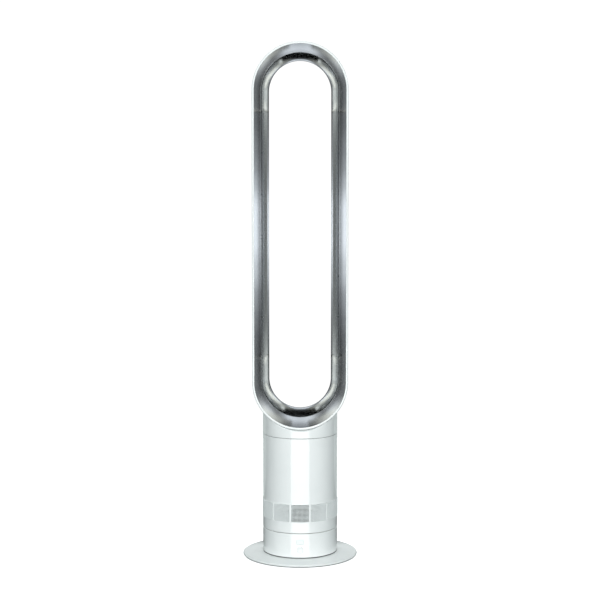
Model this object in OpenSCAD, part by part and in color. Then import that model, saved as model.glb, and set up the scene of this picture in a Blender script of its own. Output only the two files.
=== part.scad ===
// Loop tower fan: a round base with a drum, an upper body that swings on it,
// and a tall hollow loop that blows air forward through a narrow slot.
// The origin is the centre of the footprint on the floor, +Z up, the front faces -Y.

/* [Whole fan] */
// Height of the whole fan
total_h = 1007; // [960:1:1040]
// Diameter of the round body
body_d = 147; // [146:0.5:149]
// Diameter of the base plate
plate_d = 226; // [218:1:236]
// Wall of the white casings
wall = 2.4; // [2:0.1:2.8]

/* [Loop] */
// Outer width of the loop at its front rim
loop_w = 186; // [184:1:190]
// Height of the straight sides of the loop
straight_h = 563; // [516:1:594]
// Front edge of the rim, ahead of the axis
rim_front = 60; // [58:0.5:62]
// Back edge of the loop, behind the axis
loop_back = 50; // [49:0.5:52]
// Width of the white rim around the silver liner
rim_w = 4.3; // [4:0.1:5]
// Wall of the silver liner
liner_t = 1.6; // [1.4:0.1:1.8]

/* [Body] */
// Height of the seam between the drum and the swinging body
swing_seam_z = 57; // [56.8:0.1:57.2]
// Bottom of the air inlet band
band_low_z = 79.6; // [79:0.2:81]
// Top of the air inlet band
band_high_z = 114; // [113:0.2:115]
// Height of the seam between the body and the neck
neck_seam_z = 243; // [240:0.5:246]
// Number of inlet panels around the body
panel_count = 12; // [8:1:16]

/* [Base] */
// Gap between the floor and the base plate
foot_gap = 1.2; // [1:0.1:1.4]
// Thickness of the base plate at its rim
rim_t = 4.5; // [4.3:0.1:5]
// Height of the power button's centre
button_z = 24.7; // [24:0.1:26]
// Diameter of the power button
button_d = 12; // [11:0.5:13]
// Height of the display window's centre
display_z = 40.4; // [40:0.1:40.6]

/* [Swing gears] */
// Tooth size, pitch diameter over teeth
gear_module = 1; // [1:1:1]
// Teeth that a full ring of the swing gear would have
ring_teeth = 90; // [90:1:90]
// Teeth on the pinion
pinion_teeth = 15; // [15:1:15]

/* [Hidden] */
$fn = 96;

body_r = body_d / 2;
bore_r = body_r - wall;
plate_r = plate_d / 2;
loop_r = loop_w / 2;
arc_high_z = total_h - loop_r;
arc_low_z = arc_high_z - straight_h;
white = "#eef1f1";
silver = "#a9aeb0";
dark = "#2c2e30";
steel = "#9a9da0";
nylon = "#e6e2d6";
board_green = "#1f5a3c";
foam_grey = "#55585c";
brass = "#c8a24a";
copper = "#b5713c";
running = 0.05;

// heights in the base
rim_top_z = foot_gap + rim_t;
plate_top_z = 8.4;
flange_low_z = 5.4;
flange_in_r = 64;
cover_top_z = 2.7;
cover_r = 87.7;
foot_in_r = 95;
foot_out_r = 105;
foot_top_z = 2.2;
ballast_top_z = 11;
deck_low_z = 45.5;
deck_high_z = 48.5;
half_seam = 0.4;
drum_top_z = swing_seam_z - half_seam;
turn_low_z = swing_seam_z + half_seam;
turn_high_z = turn_low_z + 3;
post_at_r = 67.6;
post_r = 3.8;
post_angles = [45, 135, 225, 315];
screw_r = 1.5;
hub_r = 12;
hub_bore_r = 8;
hub_low_z = 41.6;
clip_low_z = 42.5;
clip_high_z = 43.7;
clip_groove_r = 10.8;
bush_r = 16;
window_w = 14;
window_h = 9.6;
inlet_z = 20;
cord_r = 3.6;

// swing gears
pressure = 25;
backlash = 0.1;
ring_pitch_r = gear_module * ring_teeth / 2;
pinion_pitch_r = gear_module * pinion_teeth / 2;
pinion_x = ring_pitch_r + pinion_pitch_r;
gear_low_z = 50;
gear_high_z = 55.2;
sector_teeth = 26;
motor_x = pinion_x - 8;

// air path in the body
half_neck_seam = 0.35;
tube_top_z = neck_seam_z - half_neck_seam;
neck_low_z = neck_seam_z + half_neck_seam;
fan_low_z = 118;
fan_high_z = 160;
tip_gap = 0.6;
bucket_r = 46;
duct_r = 62;
shaft_r = 2.5;
duct_port_r = 36;
duct_port_y = -6;

// ---- helpers ----

function arc(centre, r, from, to, steps) =
    [for (i = [0:steps]) let (a = from + (to - from) * i / steps) centre + r * [cos(a), sin(a)]];

// unit vector across a path at point i, to the left of its direction
function across(path, i) =
    let (d = path[min(i + 1, len(path) - 1)] - path[max(i - 1, 0)])
    [-d[1], d[0]] / norm(d);

// closed outline of a wall that follows a path and lies to its left, or right if t is negative
function wall_outline(path, t, first_t) =
    concat(path, [for (i = [len(path) - 1:-1:0]) path[i] + (i == 0 ? first_t : t) * across(path, i)]);

module tube(outer, inner, low, high) {
    translate([0, 0, low]) difference() {
        cylinder(r = outer, h = high - low);
        translate([0, 0, -1]) cylinder(r = inner, h = high - low + 2);
    }
}

module rod(r, low, high) {
    translate([0, 0, low]) cylinder(r = r, h = high - low);
}

module box(low, high) {
    translate(low) cube(high - low);
}

// cylinder along Y between two depths
module rod_y(r, front, back, z) {
    translate([0, front, z]) rotate([-90, 0, 0]) cylinder(r = r, h = back - front);
}

module around(angles, radius) {
    for (a = angles) rotate([0, 0, a]) translate([radius, 0, 0]) children();
}

// ---- base ----

module base_plate() {
    edge_r = rim_t / 2;
    color(white) difference() {
        rotate_extrude() {
            translate([plate_r - edge_r, foot_gap + edge_r]) circle(r = edge_r, $fn = 48);
            polygon([
                [flange_in_r, flange_low_z], [cover_r + 0.3, flange_low_z],
                [cover_r + 0.3, foot_gap], [plate_r - edge_r, foot_gap],
                [plate_r - edge_r, rim_top_z], [body_r, plate_top_z], [flange_in_r, plate_top_z],
            ]);
        }
        tube(foot_out_r, foot_in_r, 0, foot_top_z);
        around(post_angles, post_at_r) rod(screw_r + 0.1, 0, plate_top_z + 1);
    }
}

module foot_ring() {
    color(dark) tube(foot_out_r, foot_in_r, 0, foot_top_z);
}

module base_cover() {
    head_r = 2 * screw_r;
    color(dark) difference() {
        rod(cover_r, foot_gap, cover_top_z);
        around(post_angles, post_at_r) translate([0, 0, foot_gap - 0.05])
            cylinder(r1 = head_r + 0.2, r2 = screw_r + 0.1, h = cover_top_z - foot_gap + 0.1);
    }
}

module ballast_plate() {
    color(steel) difference() {
        union() {
            rod(cover_r - 0.7, cover_top_z, flange_low_z);
            rod(flange_in_r - 3, flange_low_z, ballast_top_z);
        }
        rod(20, 0, ballast_top_z + 1);
        around(post_angles, post_at_r) rod(screw_r + 0.5, 0, ballast_top_z);
    }
}

module base_screws() {
    color(steel) around(post_angles, post_at_r) {
        translate([0, 0, foot_gap + 0.1])
            cylinder(r1 = 2 * screw_r, r2 = screw_r, h = cover_top_z - foot_gap - 0.1);
        rod(screw_r, cover_top_z, 18);
    }
}

module rounded_slot(w, h, r, front, back, z) {
    for (side = [-1, 1]) for (end = [-1, 1])
        translate([side * (w / 2 - r), 0, end * (h / 2 - r)]) rod_y(r, front, back, z);
    box([-w / 2 + r, front, z - h / 2], [w / 2 - r, back, z + h / 2]);
    box([-w / 2, front, z - h / 2 + r], [w / 2, back, z + h / 2 - r]);
}

module base_drum() {
    groove = 1.2;
    color(white) difference() {
        union() {
            tube(body_r - groove, bore_r, plate_top_z, plate_top_z + 1);
            tube(body_r, bore_r, plate_top_z + 1, drum_top_z);
            around(post_angles, post_at_r) rod(post_r, plate_top_z, deck_low_z);
        }
        around(post_angles, post_at_r) rod(screw_r + running, 0, deck_high_z);
        rod_y(button_d / 2 + 0.3, -body_r - 1, -bore_r + 4, button_z);
        rounded_slot(window_w, window_h, 2, -body_r - 1, -bore_r + 4, display_z);
        rod_y(6, bore_r - 4, body_r + 1, inlet_z);
    }
}

module base_deck() {
    color(nylon) difference() {
        rod(bore_r - 0.4, deck_low_z, deck_high_z);
        rod(bush_r, 0, drum_top_z);
        around(post_angles, post_at_r) rod(screw_r + 0.1, 0, drum_top_z);
        translate([pinion_x, 0, 0]) rod(5, 0, drum_top_z);
    }
}

module deck_screws() {
    color(steel) around(post_angles, post_at_r) {
        rod(screw_r, 36, deck_high_z);
        rod(2.6, deck_high_z, deck_high_z + 1.8);
    }
}

module glide_ring() {
    color(nylon) tube(64.2, 62, deck_high_z, turn_low_z - 0.3);
}

module pivot_bush() {
    color(nylon) difference() {
        union() {
            rod(bush_r, clip_high_z + 0.5, turn_low_z - 0.4);
            rod(22, deck_high_z, deck_high_z + 1.2);
        }
        rod(hub_r + running, 0, turn_high_z);
    }
}

module swing_motor() {
    color(steel) difference() {
        union() {
            translate([motor_x, 0, 0]) rod(14, 26.5, deck_low_z);
            translate([motor_x, 0, 0]) box([-3.5, -21, deck_low_z - 0.8], [3.5, 21, deck_low_z]);
            translate([pinion_x, 0, 0]) rod(4.5, deck_low_z, deck_low_z + 1.7);
        }
        translate([pinion_x, 0, 0]) rod(shaft_r + running, 38, deck_high_z);
    }
}

board_low_z = 14;
board_high_z = 15.6;

module main_board() {
    color(board_green) box([-40, -30, board_low_z], [40, 50, board_high_z]);
}

module board_standoffs() {
    color(brass) for (x = [-35, 35]) for (y = [-25, 40])
        translate([x, y, 0]) rod(2.5, ballast_top_z, board_low_z);
}

module board_parts() {
    color(dark) {
        translate([-26, 28, 0]) rod(8, board_high_z, 35);
        translate([-4, 34, 0]) rod(6.5, board_high_z, 31);
        box([-34, -22, board_high_z], [-18, -6, 27]);
        box([-8, -24, board_high_z], [12, -10, 24]);
        box([18, 22, board_high_z], [34, 38, 24]);
        box([8, 42, board_high_z], [24, 48, 25]);
    }
}

board_front_y = -58.6;

module control_board() {
    color(board_green) box([-17, board_front_y, 17], [17, board_front_y + 1.6, 45]);
}

module tact_switch() {
    color(dark) {
        box([-3, board_front_y - 1.6, button_z - 3], [3, board_front_y, button_z + 3]);
        rod_y(1.7, board_front_y - 2.4, board_front_y - 1.6, button_z);
    }
}

button_stem_r = 3;
button_flange_y = -70.1;

module button_guide() {
    color(nylon) difference() {
        union() {
            rod_y(5, -66.5, -61.6, button_z);
            box([-11, -62.8, button_z - 4], [11, -61.6, button_z + 4]);
            for (side = [-1, 1])
                translate([side * 9.5, 0, 0]) rod_y(1.5, -61.6, board_front_y, button_z);
        }
        rod_y(button_stem_r + running, -67, -61, button_z);
    }
}

module led_display() {
    color(dark) box([-6.5, -68.4, display_z - 4.4], [6.5, board_front_y, display_z + 4.4]);
}

module ir_receiver() {
    color(dark) box([11, board_front_y - 4, 34], [15, board_front_y, 40]);
}

module display_window() {
    color(white) intersection() {
        rounded_slot(window_w - 0.2, window_h - 0.2, 1.9, -body_r - 1, -bore_r + 4, display_z);
        tube(body_r, bore_r, display_z - 10, display_z + 10);
    }
}

module cord_inlet() {
    color(dark) difference() {
        union() {
            rod_y(5.95, bore_r - 3.9, body_r + 1.7, inlet_z);
            rod_y(8, bore_r - 2.4, bore_r - 0.6, inlet_z);
            difference() {
                rod_y(8, body_r - 1, body_r + 1.7, inlet_z);
                rod(body_r, 0, drum_top_z);
            }
        }
        rod_y(cord_r, bore_r - 5, body_r + 3, inlet_z);
    }
}

module power_button() {
    color(white) {
        intersection() {
            rod_y(button_d / 2, -body_r - 1, button_flange_y, button_z);
            rod(body_r, 0, drum_top_z);
        }
        rod_y(7.5, button_flange_y, button_flange_y + 1.2, button_z);
        rod_y(button_stem_r, button_flange_y + 1.2, -62.5, button_z);
    }
}

// ---- swing gears ----

// involute of the angle whose cosine is the base radius over r, in degrees
function involute(base_r, r) = let (a = acos(base_r / r)) tan(a) * 180 / PI - a;

// half the angle that one tooth covers at radius r
function tooth_half(teeth, r) =
    let (pitch_r = gear_module * teeth / 2, base_r = pitch_r * cos(pressure))
    90 / teeth - backlash / pitch_r * 90 / PI + involute(base_r, pitch_r) - involute(base_r, max(r, base_r));

// outline of one tooth around angle zero, from root to tip and back
function tooth(teeth, steps) =
    let (
        pitch_r = gear_module * teeth / 2,
        root_r = pitch_r - 1.25 * gear_module,
        low_r = max(pitch_r * cos(pressure), root_r + 0.05),
        tip_r = pitch_r + gear_module,
        radii = [for (i = [0:steps]) low_r + (tip_r - low_r) * i / steps],
        rise = [for (r = radii) [r, -tooth_half(teeth, r)]],
        fall = [for (i = [steps:-1:0]) [radii[i], tooth_half(teeth, radii[i])]]
    )
    concat([[root_r, -tooth_half(teeth, low_r)]], rise, fall, [[root_r, tooth_half(teeth, low_r)]]);

function polar(p, turn) = p[0] * [cos(p[1] + turn), sin(p[1] + turn)];

module drive_pinion() {
    step = 360 / pinion_teeth;
    outline = [for (i = [0:pinion_teeth - 1]) for (p = tooth(pinion_teeth, 4)) polar(p, 180 + i * step)];
    color(nylon) translate([pinion_x, 0, 0]) {
        translate([0, 0, gear_low_z - 0.4])
            linear_extrude(height = gear_high_z - gear_low_z + 0.8) polygon(outline);
        rod(shaft_r, 38.5, gear_low_z - 0.4);
        rod(shaft_r, gear_high_z + 0.4, gear_high_z + 1);
    }
}

module swing_gear() {
    step = 360 / ring_teeth;
    first = -(sector_teeth - 1) / 2 * step;
    teeth = [for (i = [0:sector_teeth - 1]) for (p = tooth(ring_teeth, 3)) polar(p, first + i * step)];
    span = sector_teeth / 2 * step;
    inner_r = 27;
    color(nylon) difference() {
        union() {
            translate([0, 0, gear_low_z]) linear_extrude(height = gear_high_z - gear_low_z)
                polygon(concat(teeth, arc([0, 0], inner_r, span, -span, 12)));
            translate([0, 0, gear_high_z]) rotate([0, 0, -span])
                rotate_extrude(angle = 2 * span)
                    translate([inner_r + 1, 0]) square([12, turn_low_z - gear_high_z]);
        }
        around([-35, 0, 35], 34) {
            rod(3, gear_low_z - 1, gear_low_z + 2.2);
            rod(screw_r + 0.1, gear_low_z, turn_high_z);
        }
    }
}

module gear_screws() {
    color(steel) around([-35, 0, 35], 34) {
        rod(2.8, gear_low_z + 0.3, gear_low_z + 2.2);
        rod(screw_r, gear_low_z + 2.2, turn_high_z - 0.4);
    }
}

module turntable() {
    color(nylon) difference() {
        union() {
            rod(bore_r - 0.1, turn_low_z, turn_high_z);
            rod(hub_r, hub_low_z, turn_low_z);
        }
        rod(hub_bore_r, 0, turn_high_z + 1);
        tube(hub_r + 1, clip_groove_r, clip_low_z, clip_high_z);
        around([-35, 0, 35], 34) rod(screw_r + running, 0, turn_high_z - 0.3);
    }
}

module retaining_clip() {
    color(steel) difference() {
        tube(15.4, clip_groove_r, clip_low_z, clip_high_z);
        box([-4, -20, 0], [4, 0, turn_low_z]);
    }
}

// ---- body casings ----

module body_skirt() {
    color(white) tube(body_r, bore_r, turn_low_z, band_low_z);
}

panel_step = 360 / panel_count;
rib_angle = 2.4;
band_proud = 0.6;
band_frame = 0.6;

module inlet_grille() {
    window = panel_step - rib_angle;
    color(white) difference() {
        tube(body_r + band_proud, body_r - 1.2, band_low_z, band_high_z);
        for (i = [0:panel_count - 1]) rotate([0, 0, -90 + i * panel_step - window / 2])
            translate([0, 0, band_low_z + band_frame]) rotate_extrude(angle = window)
                translate([body_r - 2, 0]) square([4, band_high_z - band_low_z - 2 * band_frame]);
    }
}

module inlet_mesh() {
    color(silver) tube(body_r - 1.2, body_r - 2.1, band_low_z, band_high_z);
}

module body_tube() {
    color(white) tube(body_r, bore_r, band_high_z, tube_top_z);
}

module coupling_ring() {
    color(nylon) tube(bore_r - 0.1, bore_r - 4, neck_seam_z - 7, neck_seam_z + 4);
}

module neck_seal() {
    color(dark) tube(body_r - 0.9, bore_r, tube_top_z, neck_low_z);
}

// ---- air path in the body ----

module lower_silencer() {
    color(foam_grey) tube(64, 20, turn_high_z, turn_high_z + 14);
}

// inner face of the shroud around the impeller, then of the straight duct above it
shroud = concat(
    arc([44, fan_low_z], 8, 210, 180, 3),
    [for (i = [1:6]) let (s = i / 6) [36 + 21 * pow(s, 1.3), fan_low_z + (fan_high_z - fan_low_z) * s]],
    [[duct_r - 1.2, fan_high_z + 6], [duct_r, fan_high_z + 10], [duct_r, 206]]
);

module duct_housing() {
    color(foam_grey) {
        rotate_extrude() polygon(wall_outline(shroud, -2, -2));
        tube(67, 38.5, fan_low_z - 5, fan_low_z - 3);
    }
}

module isolation_ring() {
    color(dark) tube(bore_r, 67, fan_low_z - 6, fan_low_z - 2);
}

module flow_vanes() {
    color(foam_grey) intersection() {
        tube(duct_r, bucket_r, 172, 198);
        for (i = [0:10]) rotate([0, 0, i * 360 / 11]) translate([54, 0, 185])
            rotate([32, 0, 0]) box([-12, -0.8, -20], [12, 0.8, 20]);
    }
}

module motor_bucket() {
    color(foam_grey) difference() {
        rod(bucket_r, fan_high_z + 2, 200);
        rod(bucket_r - 2, fan_high_z + 6, 201);
        rod(9, 0, 201);
    }
}

module bucket_cap() {
    nose = [[1.5, 226], [18, 222], [32, 214], [42, 206], [bucket_r - 0.2, 199.8]];
    color(foam_grey) intersection() {
        rotate_extrude() polygon(wall_outline(nose, -2, -2));
        rod(bucket_r, 200, 227);
    }
}

module motor_stator() {
    color(copper) {
        tube(32, 18.4, 172, 188);
        tube(bucket_r - 2, 32, 178, 182);
    }
}

module bearing(low) {
    tube(9, shaft_r + running, low, low + 4);
}

module lower_bearing() {
    color(steel) bearing(fan_high_z + 2);
}

module upper_bearing() {
    color(steel) {
        bearing(192);
        tube(bucket_r - 2, 9, 193, 195);
    }
}

module upper_silencer() {
    color(foam_grey) tube(66, 52, 212, 232);
}

hub_profile = [for (i = [0:6]) let (s = i / 6)
    [12 + 32 * pow(s, 1.4), fan_low_z + 2 + (fan_high_z - fan_low_z - 2) * s]];

// plan shape of one backward-swept blade
blade_line = [for (i = [0:6]) polar([9 + 50 * i / 6, -64 * i / 6], 0)];

module blade() {
    linear_extrude(height = fan_high_z - fan_low_z) polygon(wall_outline(blade_line, 1.4, 1.4));
}

module impeller() {
    blades = 9;
    shroud_face = [for (i = [3:9]) shroud[i] - [tip_gap, 0]];
    color(dark) difference() {
        union() {
            rotate_extrude() polygon(concat([[0, fan_low_z + 2]], hub_profile, [[0, fan_high_z]]));
            intersection() {
                rotate_extrude() polygon(concat([[0, fan_low_z]], shroud_face, [[0, fan_high_z]]));
                for (i = [0:blades - 1]) rotate([0, 0, i * 360 / blades])
                    translate([0, 0, fan_low_z]) blade();
            }
        }
        rod(shaft_r, 0, 300);
    }
}

module motor_shaft() {
    color(steel) rod(shaft_r, fan_low_z - 6, 198);
}

module magnet_rotor() {
    color(dark) tube(18, shaft_r, 172, 188);
}

module shaft_nut() {
    color(steel) difference() {
        translate([0, 0, fan_low_z - 3]) cylinder(r = 4.6, h = 5, $fn = 6);
        rod(shaft_r, 0, 200);
    }
}

// ---- loop: profiles are [distance from the loop's centre line, depth] ----

lip_r = 2.4;
shell_t = 2.1;
cover_t = 1.8;
taper = 6.5;
shell_back = 36;

// outer face of the white shell, from the rim to the rear cover
shell_face = concat(
    [[loop_r - rim_w, -rim_front]],
    arc([loop_r - lip_r, -rim_front + lip_r], lip_r, -90, 0, 4),
    [for (i = [1:7]) let (s = i / 7)
        [loop_r - taper * pow(s, 1.6), -rim_front + lip_r + (shell_back + rim_front - lip_r) * s]]
);

// outer face of the rear cover, round to its inner lip
cover_corner = loop_r - taper - 12.2;
cover_face = concat(
    arc([cover_corner, loop_back - 12], 12, -7, 90, 7),
    arc([70.5, loop_back - 2], 2, 90, 180, 3),
    [[68.5, loop_back - 6]]
);

// inner face of the flared silver liner, from the rim back to the slot's lip
slot_y = -10;
slot_r = 75;
lip_face_r = slot_r + 0.2;
liner_r = loop_r - rim_w - 0.1;
liner_front = rim_front - 1.1;
liner_joint = 0.05;
diffuser_face = concat(
    [for (i = [0:6]) let (s = i / 6)
        [liner_r - (liner_r - slot_r) * s - 0.8 * sin(180 * s), -liner_front + (slot_y + liner_front) * s]],
    [[lip_face_r, slot_y + 4], [lip_face_r, slot_y + 10], [76.4, slot_y + 13], [78.6, slot_y + 15]]
);

// inner face of the silver wall behind the slot: narrows to a throat, then opens
throat_r = 61.1;
throat_y = 18;
inner_back = loop_back - 3;
inner_face = concat(
    [for (i = [0:7]) let (s = i / 7)
        [throat_r + (slot_r - 1.2 - throat_r) * pow(1 - s, 1.6), slot_y + (throat_y - slot_y) * s]],
    [for (i = [1:5]) let (s = i / 5)
        [throat_r + 5.4 * pow(s, 1.8), throat_y + (inner_back - throat_y) * s]]
);

// sweeps a profile all round the loop: two arcs and two sides, with a hairline joint where they meet
module loop_sweep(joint) {
    for (half = [0, 1]) translate([0, 0, half == 0 ? arc_low_z : arc_high_z])
        rotate([-90, 0, 0]) rotate([0, 0, 180 * half]) rotate_extrude(angle = 180) children();
    for (side = [0, 1]) mirror([side, 0, 0])
        translate([0, 0, arc_low_z + joint]) linear_extrude(height = straight_h - 2 * joint) children();
}

// solid whose lower end follows the loop's outer face, grown by a margin and carried out both ways
module loop_foot(margin) {
    first = 5;
    grown = [for (i = [first:len(shell_face) - 1]) shell_face[i] + [margin, 0]];
    translate([0, 0, arc_low_z]) rotate([-90, 0, 0]) rotate_extrude() polygon(concat(
        [[0, -2 * rim_front], [grown[0][0], -2 * rim_front]], grown,
        [[grown[len(grown) - 1][0], 2 * rim_front], [0, 2 * rim_front]]
    ));
}

module loop_outer_shell() {
    color(white) difference() {
        loop_sweep(0) polygon(wall_outline(shell_face, shell_t, shell_t / 3));
        translate([0, duct_port_y, 0]) rod(duct_port_r + 0.3, neck_seam_z, arc_low_z);
    }
}

module loop_rear_cover() {
    color(white) loop_sweep(0) polygon(wall_outline(cover_face, cover_t, cover_t));
}

module loop_diffuser() {
    color(silver) loop_sweep(liner_joint) polygon(wall_outline(diffuser_face, -liner_t, -liner_t / 2));
}

module loop_inner_wall() {
    color(silver) loop_sweep(liner_joint) polygon(wall_outline(inner_face, -liner_t, -0.3));
}

// region between the inner wall's outer face and the slot's lip
spacer_outline = concat(
    [for (i = [2:4]) inner_face[i] - liner_t * across(inner_face, i)],
    [[lip_face_r, slot_y + 9.5], [lip_face_r, slot_y + 5]]
);

module slot_spacers() {
    spacer_w = 3;
    color(silver) {
        for (side = [0, 1]) mirror([side, 0, 0]) for (i = [0:6])
            translate([0, 0, arc_low_z + straight_h * (i + 0.5) / 7])
                linear_extrude(height = spacer_w) polygon(spacer_outline);
        for (half = [0, 1]) translate([0, 0, half == 0 ? arc_low_z : arc_high_z]) rotate([-90, 0, 0])
            for (a = [30:60:150]) rotate([0, 0, 180 * half + a])
                rotate_extrude(angle = 2.4) polygon(spacer_outline);
    }
}

module neck_posts(r, low, high) {
    for (x = [-52, 52]) for (y = [-30, 30]) translate([x, y, 0]) rod(r, low, high);
}

duct_flange_low = neck_seam_z + 4;
duct_flange_high = duct_flange_low + 2.5;

module loop_neck() {
    color(white) difference() {
        rod(body_r, neck_low_z, 305);
        loop_foot(0.3);
        difference() {
            rod(bore_r, neck_low_z - 1, 305);
            loop_foot(0.3 + wall);
            neck_posts(4, duct_flange_high, 305);
        }
        translate([0, duct_port_y, 0]) rod(duct_port_r, neck_low_z, 305);
        neck_posts(screw_r + running, duct_flange_high, duct_flange_high + 12);
    }
}

module loop_duct() {
    color(nylon) difference() {
        union() {
            translate([0, duct_port_y, 0]) rod(duct_port_r - 0.2, duct_flange_low, 290);
            rod(bore_r - 0.2, duct_flange_low, duct_flange_high);
        }
        translate([0, duct_port_y, 0]) rod(duct_port_r - 2.2, duct_flange_low - 1, 291);
        loop_foot(-3.4);
        neck_posts(screw_r + 0.1, duct_flange_low - 1, duct_flange_high + 1);
    }
}

module duct_screws() {
    color(steel) {
        neck_posts(2.8, duct_flange_low - 1.8, duct_flange_low);
        neck_posts(screw_r, duct_flange_low, duct_flange_high + 10);
    }
}

base_plate();
foot_ring();
base_cover();
ballast_plate();
base_screws();
base_drum();
base_deck();
deck_screws();
glide_ring();
pivot_bush();
swing_motor();
main_board();
board_standoffs();
board_parts();
control_board();
tact_switch();
button_guide();
led_display();
ir_receiver();
display_window();
cord_inlet();
power_button();
drive_pinion();
turntable();
swing_gear();
gear_screws();
retaining_clip();
body_skirt();
inlet_grille();
inlet_mesh();
body_tube();
lower_silencer();
duct_housing();
isolation_ring();
flow_vanes();
motor_bucket();
bucket_cap();
motor_stator();
lower_bearing();
upper_bearing();
upper_silencer();
coupling_ring();
neck_seal();
loop_neck();
loop_duct();
duct_screws();
loop_outer_shell();
loop_rear_cover();
loop_diffuser();
loop_inner_wall();
slot_spacers();
impeller();
motor_shaft();
magnet_rotor();
shaft_nut();
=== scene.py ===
# %% [markdown]
# # A loop tower fan, dressed for the camera
# The fan was drawn as a mechanism first. Every dimension in it is fixed, and it arrives here as
# a frame of separate parts. This notebook gives the parts that show their real surfaces: gloss white ABS
# casings, a loop lined with brushed plated silver, a perforated inlet sheet and a rubber foot ring. The
# frame is loaded first, because every later size is read from it or agrees with it.

import bpy
import bmesh
import math
from mathutils import Matrix, Vector


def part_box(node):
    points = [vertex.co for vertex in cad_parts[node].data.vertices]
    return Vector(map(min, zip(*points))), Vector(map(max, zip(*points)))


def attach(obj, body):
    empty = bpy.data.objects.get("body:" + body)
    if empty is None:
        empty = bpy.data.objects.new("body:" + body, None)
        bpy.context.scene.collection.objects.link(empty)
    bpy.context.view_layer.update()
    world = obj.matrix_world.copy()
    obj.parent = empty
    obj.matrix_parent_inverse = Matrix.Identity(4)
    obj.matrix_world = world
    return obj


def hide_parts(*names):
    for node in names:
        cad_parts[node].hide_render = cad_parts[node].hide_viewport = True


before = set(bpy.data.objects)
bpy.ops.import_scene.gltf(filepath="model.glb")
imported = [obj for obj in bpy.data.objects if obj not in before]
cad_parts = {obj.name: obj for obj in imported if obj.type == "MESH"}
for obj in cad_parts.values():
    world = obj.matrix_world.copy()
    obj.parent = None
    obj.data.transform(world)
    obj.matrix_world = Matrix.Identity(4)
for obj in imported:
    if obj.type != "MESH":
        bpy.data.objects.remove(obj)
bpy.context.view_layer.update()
MM = 0.001

# %% [markdown]
# ## Sizes taken from the frame
# A maker measures the blank before cutting. The boxes of a few parts give the radii and heights that the
# dressed pieces share, so they stay right if the part is packed again with other sizes.

# %% Read the sizes
def size_of(part):
    low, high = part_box(part)
    return [value / MM for value in low], [value / MM for value in high]


loop_low, loop_high = size_of("loop_outer_shell")
tube_low, tube_high = size_of("body_tube")
skirt_low, skirt_high = size_of("body_skirt")
drum_low, drum_high = size_of("base_drum")
plate_low, plate_high = size_of("base_plate")
band_low, band_high = size_of("inlet_grille")
neck_foot = size_of("loop_neck")[0][2]
liner_front = size_of("loop_diffuser")[0][1]
wall_back = size_of("loop_inner_wall")[1][1]
cover_back = size_of("loop_rear_cover")[1][1]
body_r, plate_r, loop_r = tube_high[0], plate_high[0], loop_high[0]
wall_t = 2.4
bore_r = body_r - wall_t
rim_y, shell_back = loop_low[1], loop_high[1]
arc_high_z, arc_low_z = loop_high[2] - loop_r, loop_low[2] + loop_r
print("radii", body_r, plate_r, loop_r, "arc centres", arc_low_z, arc_high_z)

# %% [markdown]
# ## One helper for every node
# Materials and shape rules are both node trees. A single small function adds a node, sets its properties
# and fills its inputs. A plain value is set on the socket itself. A node or one of its outputs is linked,
# and a node on its own stands for its first output.

# %% Node helper and colours
def fill(tree, node, inputs):
    for name, value in inputs.items():
        if isinstance(value, bpy.types.Node):
            value = value.outputs[0]
        if isinstance(value, bpy.types.NodeSocket):
            tree.links.new(value, node.inputs[name])
        else:
            node.inputs[name].default_value = value


def add_node(tree, kind, inputs=None, **settings):
    node = tree.nodes.new(kind)
    for name, value in settings.items():
        setattr(node, name, value)
    fill(tree, node, inputs or {})
    return node


def srgb(code, alpha=1.0):
    parts = [int(code[i : i + 2], 16) / 255 for i in (1, 3, 5)]
    return [p / 12.92 if p <= 0.04045 else ((p + 0.055) / 1.055) ** 2.4 for p in parts] + [alpha]


print("paper white in linear light", [round(v, 3) for v in srgb("#f2f4f4")])

# %% [markdown]
# ## Gloss white ABS
# The casings are injection moulded in white ABS from a polished tool. That gives a clear, mirror-like gloss
# over a bright cool white, with the faintest waviness, which toolmakers call orange peel, every few
# millimetres. A Principled shader at the plastic's own IOR of 1.53 does the gloss, and two layers of noise
# do the waviness and a hardly visible unevenness of the whiteness.

# %% Moulded plastics
def start_material(name, **sockets):
    material = bpy.data.materials.new(name)
    material.use_nodes = True
    tree = material.node_tree
    shader = tree.nodes["Principled BSDF"]
    fill(tree, shader, {socket.replace("_", " "): value for socket, value in sockets.items()})
    return material, tree, shader, add_node(tree, "ShaderNodeTexCoord").outputs["Object"]


def two_tones(tree, shader, share, low, high):
    """Lets a pattern move the surface's colour between two tones."""
    tint = add_node(tree, "ShaderNodeMix", {"Factor": share, "A": low, "B": high}, data_type="RGBA")
    fill(tree, shader, {"Base Color": tint.outputs["Result"]})


def moulded_plastic(name, low, high, rough, wave_mm, wave_depth, grain_mm, grain_depth, **more):
    material, tree, shader, place = start_material(name, IOR=1.53, Roughness=rough, **more)
    patch, wave, grain = [
        add_node(tree, "ShaderNodeTexNoise", {"Vector": place, "Scale": 1 / (mm * MM), "Detail": detail})
        for mm, detail in ((40, 3), (wave_mm, 1), (grain_mm, 2))]
    two_tones(tree, shader, patch, srgb(low), srgb(high))
    soft = add_node(tree, "ShaderNodeBump", {"Height": wave, "Distance": wave_depth * MM})
    fine = add_node(tree, "ShaderNodeBump", {"Height": grain, "Distance": grain_depth * MM, "Normal": soft})
    fill(tree, shader, {"Normal": fine})
    return material


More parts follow.
